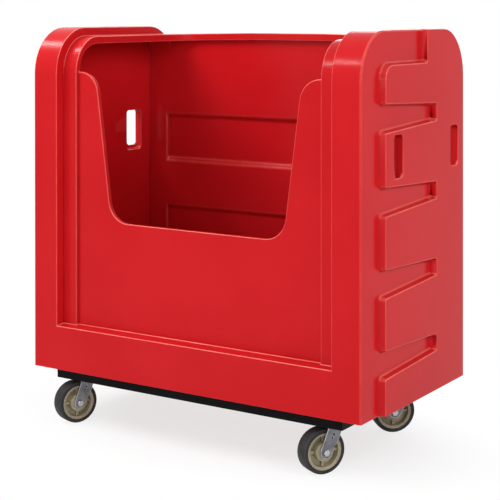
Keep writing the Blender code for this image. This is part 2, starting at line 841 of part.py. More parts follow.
def tread():
    """Tyre of the wheel with rounded shoulders."""
    inner = WHEEL_RADIUS - TREAD_THICKNESS + GAP
    half = WHEEL_HALF_WIDTH
    shoulder = half - SHOULDER_WIDTH
    middle = (half + shoulder) / 2
    drop = WHEEL_RADIUS - SHOULDER_DROP
    right = (
        (inner, half),
        (drop, half),
        (WHEEL_RADIUS - SHOULDER_DROP * 0.35, middle + SHOULDER_WIDTH * 0.25),
        (WHEEL_RADIUS - SHOULDER_DROP * 0.08, shoulder),
        (WHEEL_RADIUS, 0),
    )
    left = tuple((r, -y) for r, y in reversed(right[:-1]))
    return revolve(right + left)


def wheel_core():
    """Moulded core: rim, web, hub and four spokes on each side."""
    outer = WHEEL_RADIUS - TREAD_THICKNESS
    rim = outer - RIM_THICKNESS
    hub_half = fork_inner_half() - GAP
    bore = BEARING_RADIUS + GAP
    right = (
        (bore, hub_half),
        (HUB_RADIUS, hub_half - HUB_RING),
        (HUB_RADIUS + HUB_RING, WEB_HALF_WIDTH),
        (rim - HUB_RING, WEB_HALF_WIDTH),
        (rim, RIM_HALF_WIDTH),
        (outer, RIM_HALF_WIDTH + HUB_RING),
    )
    left = tuple((r, -y) for r, y in reversed(right))
    core = revolve(right + left)
    middle_ring = (HUB_RADIUS + bore) / 2
    reach = rim + RIM_THICKNESS / 2
    depth = SPOKE_HALF_DEPTH
    half = SPOKE_WIDTH / 2
    for turn in range(4):
        spoke = box(middle_ring, reach, -depth, depth, -half, half)
        spoke.transform(Matrix.Rotation(math.radians(90 * turn), 4, "Y"))
        core = join(core, spoke)
    return core


def bearing():
    """Sleeve bearing between the axle bolt and the wheel hub."""
    half = fork_inner_half() - GAP
    bore = AXLE_RADIUS + GAP
    profile = ((bore, -half), (BEARING_RADIUS, -half), (BEARING_RADIUS, half), (bore, half))
    return revolve(profile, ROUND_SIDES)


def make_casters(steel, zinc, core_material, rubber):
    """Build every caster part once and place a copy at each corner."""
    # Each entry holds the name, the body, its material and what it turns with.
    kit = (
        ("plate", caster_plate(), steel, "fixed"),
        ("kingpin", kingpin(), zinc, "fixed"),
        ("fork", fork(), steel, "swivel"),
        ("axle_bolt", axle_bolt(), zinc, "swivel"),
        ("axle_nut", axle_nut(), zinc, "swivel"),
        ("wheel_core", wheel_core(), core_material, "wheel"),
        ("tread", tread(), rubber, "wheel"),
        ("bearing", bearing(), zinc, "wheel"),
    )
    bolt = plate_bolt()
    for corner, side_x, side_y, degrees in CASTERS:
        x = side_x * KINGPIN_X
        y = side_y * KINGPIN_Y
        turn = math.radians(degrees)
        axle = (x - CASTER_TRAIL * math.cos(turn), y - CASTER_TRAIL * math.sin(turn), WHEEL_RADIUS)
        for name, body, material, moves in kit:
            copy = body.copy()
            if moves != "fixed":
                copy.transform(Matrix.Rotation(turn, 4, "Z"))
            location = axle if moves == "wheel" else (x, y, 0)
            add_part("caster_" + corner + "_" + name, copy, material, location)
        for number, (bolt_x, bolt_y) in enumerate(plate_bolt_places(), 1):
            name = "caster_" + corner + "_plate_bolt_" + str(number)
            add_part(name, bolt.copy(), zinc, (x + bolt_x, y + bolt_y, 0))


def make_frame(black):
    """Four angle rails and two flat bars drilled for the caster and tub bolts."""
    hole_y = FRAME_HALF_DEPTH - TUB_BOLT_INSET
    for name, sign in (("rail_front", -1), ("rail_rear", 1)):
        bm = rail(FRAME_HALF_LENGTH * 2, sign * FRAME_HALF_DEPTH)
        for x in (-TUB_BOLT_X, TUB_BOLT_X):
            hole = circle(TUB_BOLT_RADIUS + GAP, BOLT_SIDES, (x, sign * hole_y))
            bm = cut(bm, prism(hole, "Z", RAIL_TOP - RAIL_METAL * 2, RAIL_TOP + RAIL_METAL))
        add_part(name, bm, black)
    for name, sign in (("rail_left", 1), ("rail_right", -1)):
        bm = rail(FRAME_HALF_DEPTH * 2, sign * FRAME_HALF_LENGTH)
        bm.transform(Matrix.Rotation(math.radians(90), 4, "Z"))
        add_part(name, bm, black)
    reach = FRAME_HALF_DEPTH - RAIL_METAL - GAP
    for name, sign in (("caster_bar_left", -1), ("caster_bar_right", 1)):
        x = sign * KINGPIN_X
        bm = box(x - BAR_WIDTH / 2, x + BAR_WIDTH / 2, -reach, reach, BAR_BOTTOM, BAR_TOP)
        for y in (-KINGPIN_Y, KINGPIN_Y):
            for bolt_x, bolt_y in plate_bolt_places():
                hole = circle(PLATE_BOLT_RADIUS + GAP, BOLT_SIDES, (x + bolt_x, y + bolt_y))
                bm = cut(bm, prism(hole, "Z", BAR_BOTTOM - BAR_METAL, BAR_TOP + BAR_METAL))
        add_part(name, bm, black)


def centre_in_depth():
    """Move everything so that the whole cart, wheels included, is centred on Y = 0."""
    places = []
    for part in bpy.data.objects:
        places.extend(vert.co.y + part.location.y for vert in part.data.vertices)
    middle = (min(places) + max(places)) / 2
    for part in bpy.data.objects:
        part.location.y -= middle


def main():
    for old in list(bpy.data.objects):
        bpy.data.objects.remove(old, do_unlink=True)
    red = make_material("red_polyethylene", srgb(205, 38, 43), 0.38, 0.0)
    black = make_material("black_frame_paint", srgb(24, 24, 28), 0.45, 0.0)
    steel = make_material("caster_steel", srgb(150, 150, 154), 0.38, 1.0)
    zinc = make_material("zinc_fasteners", srgb(190, 190, 192), 0.30, 1.0)
    core_material = make_material("tan_wheel_core", srgb(158, 146, 120), 0.50, 0.0)
    rubber = make_material("dark_tread", srgb(58, 58, 61), 0.60, 0.0)
    add_part("tub", make_tub(), red)
    make_frame(black)
    bolt = tub_bolt()
    for corner, x, y in tub_bolt_places():
        add_part("tub_bolt_" + corner, bolt.copy(), zinc, (x, y, 0))
    make_casters(steel, zinc, core_material, rubber)
    centre_in_depth()


main()
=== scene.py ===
# %% [markdown]
# # A bulk tub cart, dressed in Blender
#
# The cart is a red moulded tub on a black steel frame with four swivel casters. Its solids come
# packed, in metres, as a fixed frame. This lesson rounds, finishes and lights them.
# Every new piece rides on one of the frame's bodies, so that the casters still swivel and roll.

# %% Load the frame
import json
import math

import bmesh
import bpy
from mathutils import Matrix, Vector

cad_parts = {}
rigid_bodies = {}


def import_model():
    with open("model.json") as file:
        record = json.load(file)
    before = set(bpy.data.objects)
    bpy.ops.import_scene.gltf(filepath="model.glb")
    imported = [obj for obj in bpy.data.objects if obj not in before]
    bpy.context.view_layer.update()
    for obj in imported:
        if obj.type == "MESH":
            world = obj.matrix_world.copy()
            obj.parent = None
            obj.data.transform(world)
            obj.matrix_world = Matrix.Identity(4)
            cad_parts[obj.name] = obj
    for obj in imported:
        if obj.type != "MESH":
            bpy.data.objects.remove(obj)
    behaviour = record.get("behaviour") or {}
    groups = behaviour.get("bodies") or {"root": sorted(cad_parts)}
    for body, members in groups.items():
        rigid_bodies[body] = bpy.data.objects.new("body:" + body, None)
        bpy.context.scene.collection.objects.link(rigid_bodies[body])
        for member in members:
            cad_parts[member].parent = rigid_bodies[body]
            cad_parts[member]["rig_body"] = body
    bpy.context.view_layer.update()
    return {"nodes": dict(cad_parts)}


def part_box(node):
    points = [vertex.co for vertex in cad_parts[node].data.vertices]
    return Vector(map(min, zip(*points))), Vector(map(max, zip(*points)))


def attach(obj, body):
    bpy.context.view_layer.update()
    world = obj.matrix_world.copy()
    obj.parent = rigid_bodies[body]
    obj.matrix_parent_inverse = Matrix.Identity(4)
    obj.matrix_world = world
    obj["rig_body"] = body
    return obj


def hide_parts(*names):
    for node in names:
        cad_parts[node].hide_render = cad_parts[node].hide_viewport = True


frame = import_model()
scene = bpy.context.scene

# %% [markdown]
# ## The camera
#
# The photograph is square and was taken from the front, about a third of a right angle to the
# right and a little above the rim. The place and the focal length were found by fitting the
# corners of the wheels and of the tub. The lens is shifted a little, because the photograph is a
# crop.

# %% Place the camera
IMAGE_SIDE = 500
FOCAL_PIXELS = 1356.3
SENSOR = 36.0
CAMERA_PLACE = (2.5972, -3.9551, 1.4803)
CAMERA_DIP = math.radians(8.783)
CAMERA_TURN = math.radians(32.94)
CAMERA_SHIFT = -0.06

camera_data = bpy.data.cameras.new("camera")
camera_data.sensor_width = SENSOR
camera_data.lens = FOCAL_PIXELS * SENSOR / IMAGE_SIDE
camera_data.shift_y = CAMERA_SHIFT
camera = bpy.data.objects.new("camera", camera_data)
camera.location = CAMERA_PLACE
camera.rotation_euler = (math.radians(90) - CAMERA_DIP, 0, CAMERA_TURN)
scene.collection.objects.link(camera)
scene.camera = camera
print("lens:", round(camera_data.lens, 2), "mm")

# %% [markdown]
# ## Colours as they are seen
#
# A colour that is read off a screen is stored with a curve. Blender's shaders want the plain
# amount of light, so a small helper takes the curve off. The Standard view puts it back.

# %% A helper for colours
scene.view_settings.view_transform = "Standard"


def seen(red, green, blue):
    """A screen colour of 0 to 255 as plain amounts of light, by the curve of sRGB."""
    amounts = []
    for level in (red, green, blue):
        share = level / 255
        amounts.append(share / 12.92 if share <= 0.04045 else ((share + 0.055) / 1.055) ** 2.4)
    return (*amounts, 1.0)


print("a middle grey:", [round(amount, 3) for amount in seen(128, 128, 128)])

# %% [markdown]
# ## Small helpers for node trees
#
# A material is a tree of nodes. These helpers keep the cells below short: one adds a node and
# sets its values, one joins an output to an input, and one does a sum on two of them.

# %% Helpers for nodes
def add_node(tree, kind, values=None, **settings):
    """Add a node, set its options and its unlinked sockets."""
    node = tree.nodes.new(kind)
    for option, setting in settings.items():
        setattr(node, option, setting)
    for socket, value in (values or {}).items():
        node.inputs[socket].default_value = value
    return node


def link(tree, output, target):
    """Join an output socket to an input socket."""
    tree.links.new(output, target)


def calculate(tree, operation, first, second, clamp=False):
    """A Math node. A number is set on its socket and an output is linked to it."""
    node = add_node(tree, "ShaderNodeMath", operation=operation, use_clamp=clamp)
    for socket, value in zip(node.inputs, (first, second)):
        if isinstance(value, (int, float)):
            socket.default_value = value
        else:
            link(tree, value, socket)
    return node.outputs[0]


print("node helpers: add_node, link and calculate")

# %% [markdown]
# The background is pure white, but so much light from all sides would wash the cart out. So the
# white shows only to rays from the camera, from a mirror or through glass. The Light Path node
# tells these rays from those that light the cart.

# %% Helper: the rays that are seen directly
def seen_directly(tree):
    """1 for rays from the camera and for those in a mirror or through glass, and else 0."""
    path = add_node(tree, "ShaderNodeLightPath")
    mirrored = calculate(tree, "MAXIMUM", path.outputs["Is Glossy Ray"],
                         path.outputs["Is Transmission Ray"])
    return calculate(tree, "MAXIMUM", path.outputs["Is Camera Ray"], mirrored)


print("seen directly: camera rays, mirrored rays and rays through glass")

# %% [markdown]
# ## The studio floor
#
# Product photographs are taken on white paper that has no far edge. A curved backdrop could be
# built, but it would show its bend from the sides, so the floor is one large plane.

# %% Build the floor
FLOOR_HALF = 40.0

floor_mesh = bmesh.new()
bmesh.ops.create_grid(floor_mesh, x_segments=1, y_segments=1, size=FLOOR_HALF)
floor_data = bpy.data.meshes.new("studio_floor")
floor_mesh.to_mesh(floor_data)
floor_mesh.free()
floor = bpy.data.objects.new("studio_floor", floor_data)
scene.collection.objects.link(floor)
print("floor:", FLOOR_HALF * 2, "m wide")

# %% [markdown]
# Below the cart the paper keeps a soft shadow. Outwards it fades to pure white where it is seen
# directly, so that no extra light reaches the cart. The fade follows the long shape of the cart's
# footprint, which is why the distance is measured in squeezed coordinates.

# %% Finish the floor's paper
FOOTPRINT_SCALE = (0.75, 1.35, 1.0)
FADE_START = 0.34
FADE_END = 0.82
SHARE_BELOW = 0.72

paper = bpy.data.materials.new("white_paper")
paper.use_nodes = True
tree = paper.node_tree
paper_shader = tree.nodes["Principled BSDF"]
paper_shader.inputs["Base Color"].default_value = (0.90, 0.90, 0.90, 1)
paper_shader.inputs["Roughness"].default_value = 0.9
paper_shader.inputs["Specular IOR Level"].default_value = 0.1
glow = add_node(tree, "ShaderNodeEmission", {"Color": (1, 1, 1, 1), "Strength": 1.0})
place = add_node(tree, "ShaderNodeTexCoord")
squeezed = add_node(tree, "ShaderNodeVectorMath", {1: FOOTPRINT_SCALE}, operation="MULTIPLY")
link(tree, place.outputs["Object"], squeezed.inputs[0])
distance = add_node(tree, "ShaderNodeVectorMath", operation="LENGTH")
link(tree, squeezed.outputs["Vector"], distance.inputs[0])
fade = add_node(tree, "ShaderNodeMapRange",
                {"From Min": FADE_START, "From Max": FADE_END, "To Min": SHARE_BELOW},
                interpolation_type="SMOOTHSTEP")
link(tree, distance.outputs["Value"], fade.inputs["Value"])
shown = calculate(tree, "MULTIPLY", fade.outputs["Result"], seen_directly(tree))
mix = add_node(tree, "ShaderNodeMixShader")
link(tree, shown, mix.inputs[0])
link(tree, paper_shader.outputs[0], mix.inputs[1])
link(tree, glow.outputs[0], mix.inputs[2])
link(tree, mix.outputs[0], tree.nodes["Material Output"].inputs["Surface"])
floor_data.materials.append(paper)
print("white from", [round(FADE_END / scale, 2) for scale in FOOTPRINT_SCALE[:2]], "m outwards")

# %% [markdown]
# ## The light
#
# The photograph has even light with few shadows, as in a white room. The world gives that light
# from all sides at a part of full strength, and only what is seen directly is pure white.

# %% Light the room
ROOM_LEVEL = 0.36


def blend_colours(tree, factor, first, second):
    """A colour Mix node. A tuple is set on its socket and an output is linked to it."""
    node = add_node(tree, "ShaderNodeMix", data_type="RGBA", blend_type="MIX")
    for number, value in ((0, factor), (6, first), (7, second)):
        if isinstance(value, tuple):
            node.inputs[number].default_value = value
        else:
            link(tree, value, node.inputs[number])
    return node.outputs[2]


world = bpy.data.worlds.new("white_room")
scene.world = world
world.use_nodes = True
tree = world.node_tree
background = tree.nodes["Background"]
room_light = blend_colours(tree, seen_directly(tree), (ROOM_LEVEL,) * 3 + (1,), (1, 1, 1, 1))
link(tree, room_light, background.inputs["Color"])
print("room level:", ROOM_LEVEL)

# %% [markdown]
# Four large soft lamps shape the cart. They could be replaced by a picture of a studio, but
# lamps are easier to place for one shape. One stands in front. One hangs high beyond the
# right-hand end, lights that wall and reaches the inside through the window. One behind lights
# the side that the photograph doesn't show. A long strip above runs away from the camera and
# draws the bright bands on the arches.

# %% Hang the lamps
def add_lamp(name, place, aim, along, width, height, power):
    """A rectangular lamp of some watts that looks at a point, with its width along a given way."""
    data = bpy.data.lights.new(name, "AREA")
    data.shape = "RECTANGLE"
    data.size = width
    data.size_y = height
    data.energy = power
    lamp = bpy.data.objects.new(name, data)
    back = (Vector(place) - Vector(aim)).normalized()
    side = Vector(along)
    side = (side - back * side.dot(back)).normalized()
    lamp.location = place
    lamp.rotation_euler = Matrix((side, back.cross(side), back)).transposed().to_euler()
    scene.collection.objects.link(lamp)
    print(name + ":", power, "W")


add_lamp("front_lamp", place=(1.5, -4.9, 2.2), aim=(0, 0, 0.8), along=(1, 0, 0),
         width=3.2, height=2.4, power=54)
add_lamp("end_lamp", place=(4.3, -0.9, 3.1), aim=(0.1, 0, 0.85), along=(0, 1, 0),
         width=2.4, height=2.4, power=92)
add_lamp("strip_lamp", place=(-1.7, -1.55, 3.3), aim=(0, -0.3, 1.3), along=(-0.636, 0.772, 0),
         width=3.0, height=0.22, power=80)
add_lamp("rear_lamp", place=(-1.5, 4.2, 3.2), aim=(0, 0, 0.9), along=(1, 0, 0),
         width=3.0, height=2.4, power=60)

# %% [markdown]
# ## Effects that several materials share
#
# A node group is a small tree with named inputs, built once and placed in many materials. Four
# are needed here: a slow drift of colour, the fine skin of a moulded or painted surface, lighter
# outer edges, which are partly wear and partly painted highlight, with darker inner corners, which
# are painted shade, and the dust that wheels and floors give. All of them read Object
# coordinates, so a pattern stays with its piece when a caster turns.

# %% Helpers for node groups
def new_group(name, inputs, outputs):
    """An empty shader group with its sockets: (name, kind, value) in and (name, kind) out."""
    group = bpy.data.node_groups.new(name, "ShaderNodeTree")
    for label, kind, value in inputs:
        socket = group.interface.new_socket(label, in_out="INPUT", socket_type="NodeSocket" + kind)
        socket.default_value = value
    for label, kind in outputs:
        group.interface.new_socket(label, in_out="OUTPUT", socket_type="NodeSocket" + kind)
    return group, group.nodes.new("NodeGroupInput"), group.nodes.new("NodeGroupOutput")


def noise(tree, scale, detail=2.0, roughness=0.5):
    """A noise over Object coordinates. The scale is a number or an output."""
    place = add_node(tree, "ShaderNodeTexCoord")
    node = add_node(tree, "ShaderNodeTexNoise", {"Detail": detail, "Roughness": roughness})
    link(tree, place.outputs["Object"], node.inputs["Vector"])
    if isinstance(scale, (int, float)):
        node.inputs["Scale"].default_value = scale
    else:
        link(tree, scale, node.inputs["Scale"])
    return node.outputs["Fac"]


print("group helpers: new_group and noise")

# %% [markdown]
# ### Colour drift
#
# Moulded plastic and paint are never one flat colour: the pigment and the thickness vary over a
# hand's width. The group blends two near shades by a slow noise and also gives the noise out,
# so that the gloss can follow it.

# %% Group: colour drift
DRIFT_RANGE = {"From Min": 0.35, "From Max": 0.65}

drift_group, given, result = new_group(
    "colour_drift",
    (("Colour", "Color", (0.5, 0.5, 0.5, 1)), ("Other", "Color", (0.4, 0.4, 0.4, 1)),
     ("Scale", "Float", 3.0)),
    (("Colour", "Color"), ("Mask", "Float")),
)
slow = noise(drift_group, given.outputs["Scale"], 3.0)
spread = add_node(drift_group, "ShaderNodeMapRange", DRIFT_RANGE, interpolation_type="SMOOTHSTEP")
link(drift_group, slow, spread.inputs["Value"])
drifted = blend_colours(drift_group, spread.outputs["Result"], given.outputs["Colour"],
                        given.outputs["Other"])
link(drift_group, drifted, result.inputs["Colour"])
link(drift_group, spread.outputs["Result"], result.inputs["Mask"])
print("group:", drift_group.name, "with", len(drift_group.nodes), "nodes")

# %% [markdown]
# ### Moulded skin
#
# The tub is made in a blasted mould, so its skin has a fine grain, and the sheet moves a little as
# it cools, so that reflections are slightly wavy. The group adds the two as one height.

# %% Group: moulded skin
skin_group, given, result = new_group(
    "moulded_skin",
    (("Grain Scale", "Float", 900.0), ("Grain", "Float", 0.3),
     ("Wave Scale", "Float", 9.0), ("Wave", "Float", 1.0)),
    (("Height", "Float"),),
)
grain = noise(skin_group, given.outputs["Grain Scale"], 2.0, 0.6)
wave = noise(skin_group, given.outputs["Wave Scale"], 1.0, 0.4)
grain_part = calculate(skin_group, "MULTIPLY", grain, given.outputs["Grain"])
wave_part = calculate(skin_group, "MULTIPLY", wave, given.outputs["Wave"])
link(skin_group, calculate(skin_group, "ADD", grain_part, wave_part), result.inputs["Height"])
print("group:", skin_group.name, "with", len(skin_group.nodes), "nodes")

# %% [markdown]
# ### Wear and painted highlight on edges, painted shade in corners
#
# Outer edges are painted lighter, partly as wear and partly as a painted highlight, and inner
# corners are painted darker as shade. Each piece carries three attributes that a later cell
# measures from the shape: how tightly a face bends out, how tightly it bends in and how much it
# faces up. The group breaks them up with noise. Where Upward is set, the painted highlight
# follows light from above: edges that face sideways or down keep only a part of their lighter
# colour, and the inner corners that face up are painted light in place of shade.

# %% Group: edge marks
PATCH_GAIN = 1.6
# Share of the lighter colour, painted highlight included, that edges facing sideways or down lose.
STANDING_LOSS = 0.65

wear_highlight_shade_group, given, result = new_group(
    "edge_wear_highlight_shade",
    (("Scale", "Float", 30.0), ("Evenness", "Float", 0.5), ("Upward", "Float", 0.0)),
    (("Wear_And_Highlight", "Float"), ("Crease_Shade", "Float")),
)
patches = noise(wear_highlight_shade_group, given.outputs["Scale"], 4.0, 0.6)
patches = calculate(wear_highlight_shade_group, "MULTIPLY", patches, PATCH_GAIN, clamp=True)
uneven = calculate(wear_highlight_shade_group, "MAXIMUM", patches, given.outputs["Evenness"])
marks = {}
for label in ("wear_and_highlight", "crease_shade"):
    attribute = add_node(wear_highlight_shade_group, "ShaderNodeAttribute", attribute_name=label)
    marks[label] = calculate(wear_highlight_shade_group, "MULTIPLY", attribute.outputs["Fac"], uneven, clamp=True)
# Painted light from above: the up attribute picks the faces that look up.
facing = add_node(wear_highlight_shade_group, "ShaderNodeAttribute", attribute_name="up")
lying = calculate(wear_highlight_shade_group, "MULTIPLY", facing.outputs["Fac"], given.outputs["Upward"])
standing = calculate(wear_highlight_shade_group, "SUBTRACT", given.outputs["Upward"], lying)
lost = calculate(wear_highlight_shade_group, "MULTIPLY", standing, STANDING_LOSS)
kept_wear_and_highlight = calculate(wear_highlight_shade_group, "MULTIPLY", marks["wear_and_highlight"],
                   calculate(wear_highlight_shade_group, "SUBTRACT", 1.0, lost))
# Painted highlight: inner corners that face up are painted light instead of shaded.
upward_crease_highlight = calculate(wear_highlight_shade_group, "MULTIPLY", marks["crease_shade"], lying)
link(wear_highlight_shade_group, calculate(wear_highlight_shade_group, "ADD", kept_wear_and_highlight, upward_crease_highlight, clamp=True), result.inputs["Wear_And_Highlight"])
link(wear_highlight_shade_group, calculate(wear_highlight_shade_group, "SUBTRACT", marks["crease_shade"], upward_crease_highlight, clamp=True),
     result.inputs["Crease_Shade"])
print("group:", wear_highlight_shade_group.name, "with", len(wear_highlight_shade_group.nodes), "nodes")

# %% [markdown]
# ### Dust
#
# Dust lies in small soft spots. The group gives a mask of such spots, and a material lays a pale
# colour over itself where the mask is high and raises its roughness there. More cover lowers the
# edge that a spot has to pass.

# %% Group: dust
CLOUD_SCALE = 14.0
SPOT_EDGE = 0.42
COVER_REACH = 0.3
SPOT_GAIN = 5.0

dust_group, given, result = new_group(
    "dust",
    (("Scale", "Float", 120.0), ("Cover", "Float", 0.3)),
    (("Mask", "Float"),),
)
specks = noise(dust_group, given.outputs["Scale"], 6.0, 0.7)
clouds = noise(dust_group, CLOUD_SCALE, 2.0)
both = calculate(dust_group, "MULTIPLY", specks, clouds)
lowered = calculate(dust_group, "MULTIPLY", given.outputs["Cover"], COVER_REACH)
edge = calculate(dust_group, "SUBTRACT", SPOT_EDGE, lowered)
above = calculate(dust_group, "SUBTRACT", both, edge)
link(dust_group, calculate(dust_group, "MULTIPLY", above, SPOT_GAIN, clamp=True),
     result.inputs["Mask"])
print("group:", dust_group.name, "with", len(dust_group.nodes), "nodes")

# %% [markdown]
# ## Materials
#
# The finishes could be painted as images, but an image has one resolution and shows its seams.
# Nodes work at any distance. Each material places the shared groups with its own values, so the
# same lighter edges and painted shade can be fine on a screw and broad on the tub.

# %% Helper: place a group in a material
def use_group(tree, group, **values):
    """Place a shared group in a material and set its inputs. An underscore stands for a space."""
    node = tree.nodes.new("ShaderNodeGroup")
    node.node_tree = group
    for label, value in values.items():
        node.inputs[label.replace("_", " ")].default_value = value
    return node


print("groups to place:", ", ".join(group.name for group in bpy.data.node_groups))

# %% [markdown]
# All six finishes have the same plan: a drifting colour, lighter outer edges that are partly wear
# and partly painted highlight, darker creases that are painted shade, some dust, a roughness that
# follows these masks and a bump for the skin. One builder makes the tree from a few values, and
# the plain numbers stay on the Principled shader's own sockets.

# %% The material builder
DUST_COLOUR = (0.6, 0.57, 0.52, 1)
DUST_ROUGHNESS = 0.3
FINISHES = {}


def make_finish(name, colour, other, wear_and_highlight, crease_shade, rough, rough_change=0.08, metallic=0.0,
                specular=0.5, drift_scale=3.0, mark_scale=30.0, evenness=0.5, upward=0.0, dust=0.0,
                grain_scale=900.0, grain=0.3, wave_scale=9.0, wave=1.0, bump=0.3,
                bump_distance=0.0004):
    """A finish from its shades and a few strengths. It is kept in FINISHES by its name."""
    material = bpy.data.materials.new(name + "_finish")
    material.use_nodes = True
    tree = material.node_tree
    shader = tree.nodes["Principled BSDF"]
    shader.inputs["Metallic"].default_value = metallic
    shader.inputs["Specular IOR Level"].default_value = specular
    drift = use_group(tree, drift_group, Colour=colour, Other=other, Scale=drift_scale)
    marks = use_group(tree, wear_highlight_shade_group, Scale=mark_scale, Evenness=evenness, Upward=upward)
    # Painted shade: inner creases blend towards the darker crease colour. Lighter outer edges,
    # partly wear and partly painted highlight, blend towards the other colour.
    shade = blend_colours(tree, marks.outputs["Crease_Shade"], drift.outputs["Colour"], crease_shade)
    shade = blend_colours(tree, marks.outputs["Wear_And_Highlight"], shade, wear_and_highlight)
    roughness = calculate(tree, "MULTIPLY_ADD", drift.outputs["Mask"], rough_change)
    roughness.node.inputs[2].default_value = rough
    if dust:
        spots = use_group(tree, dust_group, Cover=dust)
        amount = calculate(tree, "MULTIPLY", spots.outputs["Mask"], dust)
        shade = blend_colours(tree, amount, shade, DUST_COLOUR)
        roughness = calculate(tree, "ADD", roughness,
                              calculate(tree, "MULTIPLY", amount, DUST_ROUGHNESS))
    link(tree, shade, shader.inputs["Base Color"])
    link(tree, roughness, shader.inputs["Roughness"])
    skin = use_group(tree, skin_group, Grain_Scale=grain_scale, Grain=grain,
                     Wave_Scale=wave_scale, Wave=wave)
    relief = add_node(tree, "ShaderNodeBump", {"Strength": bump, "Distance": bump_distance})
    link(tree, skin.outputs["Height"], relief.inputs["Height"])
    link(tree, relief.outputs["Normal"], shader.inputs["Normal"])
    FINISHES[name] = material
    print("finish:", name)


print("dust colour:", DUST_COLOUR[:3])

# %% [markdown]
# ### Red polyethylene
#
# The tub's plastic has a deep even red and a satin gloss. Its rounded edges carry a painted
# highlight, full where they face up and weaker where they face sideways or down, its hollows that
# face up are painted light as well, and its other inner corners carry a painted shade. The
# roughness stays in a narrow range, so that the reflections on the large walls have no blotches.

# %% The red of the tub
# Painted highlight: the lighter colour on rounded edges and up-facing hollows. Painted shade: the
# darker crease colour in the other inner corners.
make_finish(
    "red_polyethylene", seen(205, 27, 33), seen(199, 23, 29), wear_and_highlight=seen(255, 128, 118),
    crease_shade=seen(150, 10, 16), rough=0.19, rough_change=0.04, specular=0.10, drift_scale=2.2,
    mark_scale=14.0, evenness=0.7, upward=1.0, grain_scale=700.0, grain=0.22, wave_scale=7.0,
    wave=1.0, bump=0.35, bump_distance=0.0008)

# %% [markdown]
# ### Frame paint
#
# The frame has a dark baked paint with an orange-peel skin. It reflects little; its outer edges
# turn a lighter grey, and its inner corners are painted darker as shade.

# %% The black of the frame
# The lighter grey goes on outer edges; the darker crease colour is painted shade in inner corners.
make_finish(
    "black_frame_paint", seen(16, 15, 17), seen(12, 12, 14), wear_and_highlight=seen(48, 47, 49),
    crease_shade=seen(8, 8, 9), rough=0.42, specular=0.06, drift_scale=6.0, mark_scale=60.0,
    evenness=0.2, dust=0.05, grain_scale=420.0, grain=0.6, wave_scale=30.0, wave=0.6, bump=0.3)

# %% [markdown]
# ### Caster steel and zinc
#
# The plates and forks of the casters are pressed and plated steel, cloudy and a little dusty. The
# screws, nuts and pins are of a brighter zinc. Both are metals: the colour is that of their
# reflections.

# %% The two metals
# On both metals the lighter colour goes on outer edges; the darker crease colour is painted shade.
make_finish(
    "caster_steel", seen(124, 124, 128), seen(102, 103, 108), wear_and_highlight=seen(205, 205, 207),
    crease_shade=seen(52, 52, 56), rough=0.32, rough_change=0.12, metallic=1.0, drift_scale=28.0,
    mark_scale=80.0, evenness=0.4, dust=0.15, grain_scale=1500.0, grain=0.5, wave_scale=60.0,
    wave=0.5, bump=0.2, bump_distance=0.0002)
make_finish(
    "zinc_fasteners", seen(190, 190, 192), seen(168, 170, 174), wear_and_highlight=seen(222, 222, 222),
    crease_shade=seen(90, 90, 92), rough=0.26, rough_change=0.12, metallic=1.0, drift_scale=90.0,
    mark_scale=120.0, evenness=0.4, dust=0.1, grain_scale=2000.0, grain=0.5, wave_scale=90.0,
    wave=0.4, bump=0.15, bump_distance=0.0002)

# %% [markdown]
# ### Wheel core and tread
#
# The wheel cores are moulded from a tan nylon, with painted shade between the spokes and a
# painted highlight on the rims.
# The treads are dark rubber, dull and dusty from the floor.

# %% The two finishes of a wheel
# Painted highlight on the rims in the lighter colour, painted shade between the spokes in the
# darker.
make_finish(
    "tan_wheel_core", seen(156, 147, 121), seen(142, 133, 108), wear_and_highlight=seen(216, 206, 176),
    crease_shade=seen(74, 67, 50), rough=0.34, specular=0.45, drift_scale=24.0, mark_scale=60.0,
    evenness=0.7, dust=0.12, grain_scale=1200.0, grain=0.5, wave_scale=50.0, wave=0.4, bump=0.25)
# On the tread the lighter colour goes on outer edges; the darker crease colour is painted shade.
make_finish(
    "dark_tread", seen(52, 51, 52), seen(43, 42, 44), wear_and_highlight=seen(72, 71, 71),
    crease_shade=seen(32, 32, 34), rough=0.62, specular=0.22, drift_scale=30.0, mark_scale=50.0,
    evenness=0.4, dust=0.2, grain_scale=1400.0, grain=0.8, wave_scale=40.0, wave=0.4, bump=0.35)

# %% [markdown]
# ## Rounding edges
#
# A real part has no knife edges: moulded corners have a radius, and sheared steel is broken a
# little. The Bevel modifier can round every edge by its own width when each edge carries a
# weight, and it keeps the wide faces flat when normals are hardened. So a copy of the solid is
# merged, its flat areas are dissolved into single faces, and each sharp edge gets a weight.

# %% Helper: merge a solid's loose triangles
WELD = 0.0001
FLAT_ANGLE = math.radians(1.0)


def join_flat_faces(bm):
    """Join faces that lie in one plane, so that only real edges are left."""
    bmesh.ops.dissolve_limit(bm, angle_limit=FLAT_ANGLE, verts=bm.verts, edges=bm.edges)


def merged_copy(node_name):
    """A bmesh of a CAD node with its loose triangles welded and its flat areas joined."""
    bm = bmesh.new()
    bm.from_mesh(frame["nodes"][node_name].data)
    bmesh.ops.remove_doubles(bm, verts=bm.verts, dist=WELD)
    join_flat_faces(bm)
    return bm


rail_copy = merged_copy("rail_front")
print("front rail:", len(frame["nodes"]["rail_front"].data.polygons), "triangles as",
      len(rail_copy.faces), "faces")
rail_copy.free()

# %% [markdown]
# Two roundings on one narrow face must not run into each other. This helper looks across a face
# from three places on an edge and gives the shortest way to the next border.

# %% Helper: measure the room beside an edge
PROBES = (0.15, 0.5, 0.85)
NEAREST = 0.00005
NO_LIMIT = 1.0


